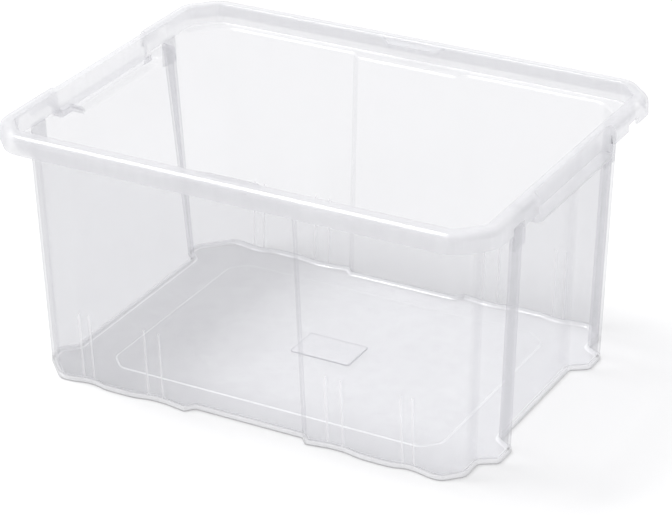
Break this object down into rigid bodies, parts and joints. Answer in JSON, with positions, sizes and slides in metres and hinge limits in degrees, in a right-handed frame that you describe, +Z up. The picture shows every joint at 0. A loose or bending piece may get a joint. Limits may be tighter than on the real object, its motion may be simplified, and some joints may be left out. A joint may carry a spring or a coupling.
{
  "type": "stackable storage bin",
  "caption": "Open-topped clear plastic storage bin with rolled rim, lip handles on both ends and corner posts that stack or nest when turned end for end.",
  "frame": {"origin": "centre of the bin's length and width, on the surface it stands on", "axes": "+X along the length, towards the end whose stacking posts stand nearer the middle; +Y along the width; +Z up out of the open top"},
  "size_m": [0.4, 0.3, 0.203],
  "materials": {
    "body": "clear natural polypropylene, satin"
  },
  "bodies": {
    "root": {"back_left_corner": "body", "back_left_end_block": "body", "back_left_ledge": "body", "back_left_post": "body", "back_left_post_head": "body", "back_left_rim_corner": "body", "back_left_shelf": "body", "back_right_corner": "body", "back_right_end_block": "body", "back_right_ledge": "body", "back_right_post": "body", "back_right_post_head": "body", "back_right_rim_corner": "body", "back_right_shelf": "body", "back_wall_centre": "body", "back_wall_left": "body", "back_wall_right": "body", "floor_pad": "body", "floor_panel": "body", "foot_bead_back": "body", "foot_bead_front": "body", "foot_bead_left": "body", "foot_bead_right": "body", "front_left_corner": "body", "front_left_end_block": "body", "front_left_ledge": "body", "front_left_post": "body", "front_left_post_head": "body", "front_left_rim_corner": "body", "front_left_shelf": "body", "front_right_corner": "body", "front_right_end_block": "body", "front_right_ledge": "body", "front_right_post": "body", "front_right_post_head": "body", "front_right_rim_corner": "body", "front_right_shelf": "body", "front_wall_centre": "body", "front_wall_left": "body", "front_wall_right": "body", "ledge_back": "body", "ledge_front": "body", "left_end_wall": "body", "left_handle_lip": "body", "left_handle_wall": "body", "right_end_wall": "body", "right_handle_lip": "body", "right_handle_wall": "body", "rim_back": "body", "rim_front": "body", "rim_tab_back": "body", "rim_tab_front": "body"}
  },
  "joints": []
}
